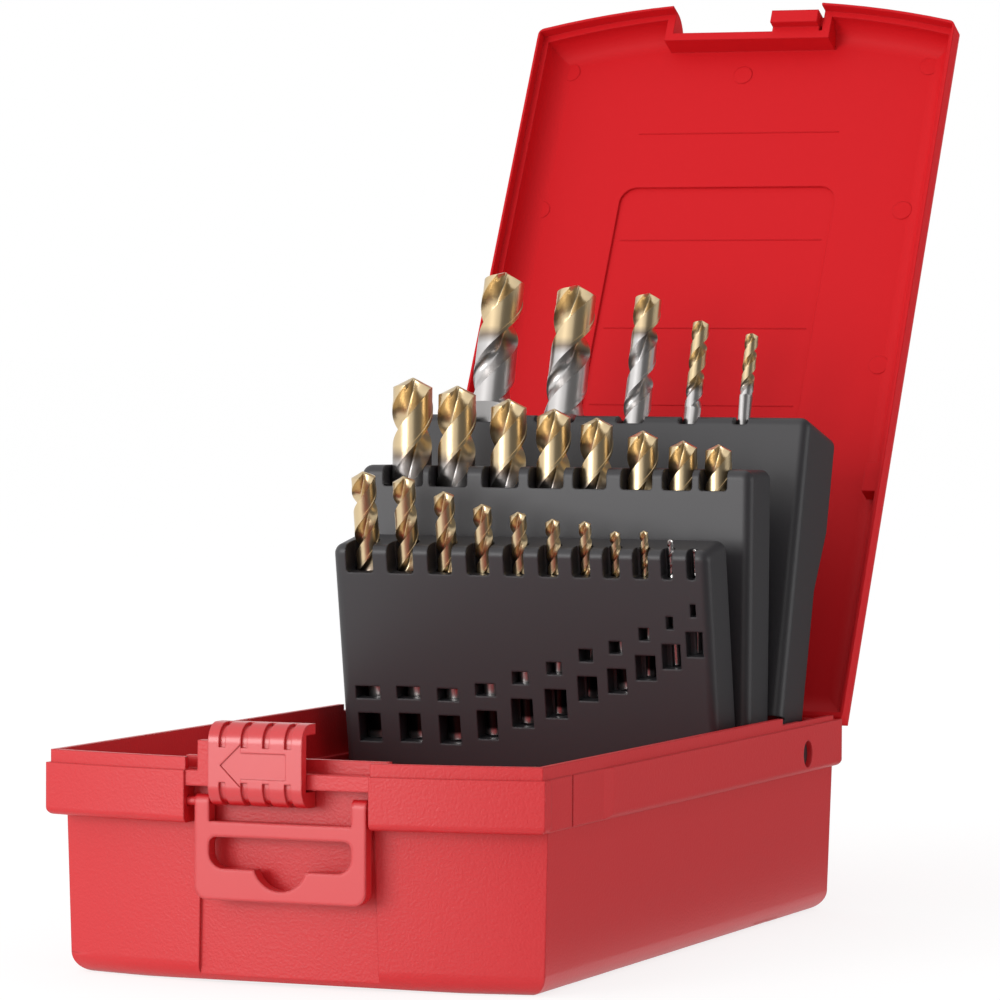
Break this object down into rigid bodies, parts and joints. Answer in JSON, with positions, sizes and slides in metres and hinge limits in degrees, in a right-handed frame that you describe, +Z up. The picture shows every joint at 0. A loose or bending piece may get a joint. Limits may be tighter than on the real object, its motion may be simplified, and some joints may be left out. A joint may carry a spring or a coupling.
{
  "type": "drill bit case",
  "caption": "Hinged plastic case that stands open, with tilting holders for a graded set of short twist drills, a sliding latch and a swing-out hanging tab.",
  "frame": {"origin": "middle of the tray's underside", "axes": "+X to the right seen from the latch, +Y to the hinge, +Z up"},
  "size_m": [0.117, 0.3098, 0.229],
  "materials": {
    "red_case": "fine moulded grain",
    "red_latch": "fine moulded grain",
    "black_holder": "satin moulded",
    "coated_drill": "titanium nitride coated tip on ground steel",
    "steel_drill": "ground",
    "steel_pin": "drawn"
  },
  "bodies": {
    "tray": {"base_tray": "red_case", "hinge_pin_left": "steel_pin", "hinge_pin_right": "steel_pin"},
    "lid": {"lid_shell": "red_case"},
    "latch": {"latch_slider": "red_latch"},
    "hanger": {"hanger_tab": "red_latch"},
    "front_holder": {"front_holder": "black_holder"},
    "drill_6_0": {"drill_6_0": "coated_drill"},
    "drill_5_5": {"drill_5_5": "coated_drill"},
    "drill_5_0": {"drill_5_0": "coated_drill"},
    "drill_4_5": {"drill_4_5": "coated_drill"},
    "drill_4_0": {"drill_4_0": "coated_drill"},
    "drill_3_5": {"drill_3_5": "coated_drill"},
    "drill_3_0": {"drill_3_0": "coated_drill"},
    "drill_2_5": {"drill_2_5": "coated_drill"},
    "drill_2_0": {"drill_2_0": "coated_drill"},
    "drill_1_5": {"drill_1_5": "steel_drill"},
    "drill_1_0": {"drill_1_0": "steel_drill"},
    "middle_holder": {"middle_holder": "black_holder"},
    "drill_10_0": {"drill_10_0": "coated_drill"},
    "drill_9_5": {"drill_9_5": "coated_drill"},
    "drill_9_0": {"drill_9_0": "coated_drill"},
    "drill_8_5": {"drill_8_5": "coated_drill"},
    "drill_8_0": {"drill_8_0": "coated_drill"},
    "drill_7_5": {"drill_7_5": "coated_drill"},
    "drill_7_0": {"drill_7_0": "coated_drill"},
    "drill_6_5": {"drill_6_5": "coated_drill"},
    "back_holder": {"back_holder": "black_holder"},
    "drill_10_5": {"drill_10_5": "coated_drill"},
    "drill_10_2": {"drill_10_2": "coated_drill"},
    "drill_6_8": {"drill_6_8": "coated_drill"},
    "drill_4_2": {"drill_4_2": "coated_drill"},
    "drill_3_3": {"drill_3_3": "coated_drill"}
  },
  "joints": [
    {"name": "lid_hinge", "type": "hinge", "parent": "tray", "child": "lid", "pos_m": [0, 0.0993, 0.0465], "axis": [1, 0, 0], "range_deg": [0, 117.3]},
    {"name": "latch_slide", "type": "slide", "parent": "tray", "child": "latch", "axis": [1, 0, 0], "range_m": [0, 0.0094]},
    {"name": "hanger_pivot", "type": "hinge", "parent": "tray", "child": "hanger", "pos_m": [0, -0.1036, 0.0398], "axis": [-1, 0, 0], "range_deg": [0, 55]},
    {"name": "front_pivot", "type": "hinge", "parent": "tray", "child": "front_holder", "pos_m": [0, 0.0504, 0.0101], "axis": [1, 0, 0], "range_deg": [0, 80]},
    {"name": "drill_6_0_lift", "type": "slide", "parent": "front_holder", "child": "drill_6_0", "axis": [0, -0.1736, 0.9848], "range_m": [0, 0.04]},
    {"name": "drill_5_5_lift", "type": "slide", "parent": "front_holder", "child": "drill_5_5", "axis": [0, -0.1736, 0.9848], "range_m": [0, 0.04]},
    {"name": "drill_5_0_lift", "type": "slide", "parent": "front_holder", "child": "drill_5_0", "axis": [0, -0.1736, 0.9848], "range_m": [0, 0.04]},
    {"name": "drill_4_5_lift", "type": "slide", "parent": "front_holder", "child": "drill_4_5", "axis": [0, -0.1736, 0.9848], "range_m": [0, 0.04]},
    {"name": "drill_4_0_lift", "type": "slide", "parent": "front_holder", "child": "drill_4_0", "axis": [0, -0.1736, 0.9848], "range_m": [0, 0.04]},
    {"name": "drill_3_5_lift", "type": "slide", "parent": "front_holder", "child": "drill_3_5", "axis": [0, -0.1736, 0.9848], "range_m": [0, 0.04]},
    {"name": "drill_3_0_lift", "type": "slide", "parent": "front_holder", "child": "drill_3_0", "axis": [0, -0.1736, 0.9848], "range_m": [0, 0.04]},
    {"name": "drill_2_5_lift", "type": "slide", "parent": "front_holder", "child": "drill_2_5", "axis": [0, -0.1736, 0.9848], "range_m": [0, 0.04]},
    {"name": "drill_2_0_lift", "type": "slide", "parent": "front_holder", "child": "drill_2_0", "axis": [0, -0.1736, 0.9848], "range_m": [0, 0.04]},
    {"name": "drill_1_5_lift", "type": "slide", "parent": "front_holder", "child": "drill_1_5", "axis": [0, -0.1736, 0.9848], "range_m": [0, 0.04]},
    {"name": "drill_1_0_lift", "type": "slide", "parent": "front_holder", "child": "drill_1_0", "axis": [0, -0.1736, 0.9848], "range_m": [0, 0.04]},
    {"name": "middle_pivot", "type": "hinge", "parent": "tray", "child": "middle_holder", "pos_m": [0, 0.0588, 0.024], "axis": [1, 0, 0], "range_deg": [0, 90.8]},
    {"name": "drill_10_0_lift", "type": "slide", "parent": "middle_holder", "child": "drill_10_0", "axis": [0, 0.014, 0.9999], "range_m": [0, 0.04]},
    {"name": "drill_9_5_lift", "type": "slide", "parent": "middle_holder", "child": "drill_9_5", "axis": [0, 0.014, 0.9999], "range_m": [0, 0.04]},
    {"name": "drill_9_0_lift", "type": "slide", "parent": "middle_holder", "child": "drill_9_0", "axis": [0, 0.014, 0.9999], "range_m": [0, 0.04]},
    {"name": "drill_8_5_lift", "type": "slide", "parent": "middle_holder", "child": "drill_8_5", "axis": [0, 0.014, 0.9999], "range_m": [0, 0.04]},
    {"name": "drill_8_0_lift", "type": "slide", "parent": "middle_holder", "child": "drill_8_0", "axis": [0, 0.014, 0.9999], "range_m": [0, 0.04]},
    {"name": "drill_7_5_lift", "type": "slide", "parent": "middle_holder", "child": "drill_7_5", "axis": [0, 0.014, 0.9999], "range_m": [0, 0.04]},
    {"name": "drill_7_0_lift", "type": "slide", "parent": "middle_holder", "child": "drill_7_0", "axis": [0, 0.014, 0.9999], "range_m": [0, 0.04]},
    {"name": "drill_6_5_lift", "type": "slide", "parent": "middle_holder", "child": "drill_6_5", "axis": [0, 0.014, 0.9999], "range_m": [0, 0.04]},
    {"name": "back_pivot", "type": "hinge", "parent": "tray", "child": "back_holder", "pos_m": [0, 0.0735, 0.03975], "axis": [1, 0, 0], "range_deg": [0, 105.5]},
    {"name": "drill_10_5_lift", "type": "slide", "parent": "back_holder", "child": "drill_10_5", "axis": [0, 0.2672, 0.9636], "range_m": [0, 0.04]},
    {"name": "drill_10_2_lift", "type": "slide", "parent": "back_holder", "child": "drill_10_2", "axis": [0, 0.2672, 0.9636], "range_m": [0, 0.04]},
    {"name": "drill_6_8_lift", "type": "slide", "parent": "back_holder", "child": "drill_6_8", "axis": [0, 0.2672, 0.9636], "range_m": [0, 0.04]},
    {"name": "drill_4_2_lift", "type": "slide", "parent": "back_holder", "child": "drill_4_2", "axis": [0, 0.2672, 0.9636], "range_m": [0, 0.04]},
    {"name": "drill_3_3_lift", "type": "slide", "parent": "back_holder", "child": "drill_3_3", "axis": [0, 0.2672, 0.9636], "range_m": [0, 0.04]}
  ],
  "couplings": [
    {"joint": "front_pivot", "follows": "lid_hinge", "ratio": 0.68201},
    {"joint": "middle_pivot", "follows": "lid_hinge", "ratio": 0.77408},
    {"joint": "back_pivot", "follows": "lid_hinge", "ratio": 0.8994}
  ]
}
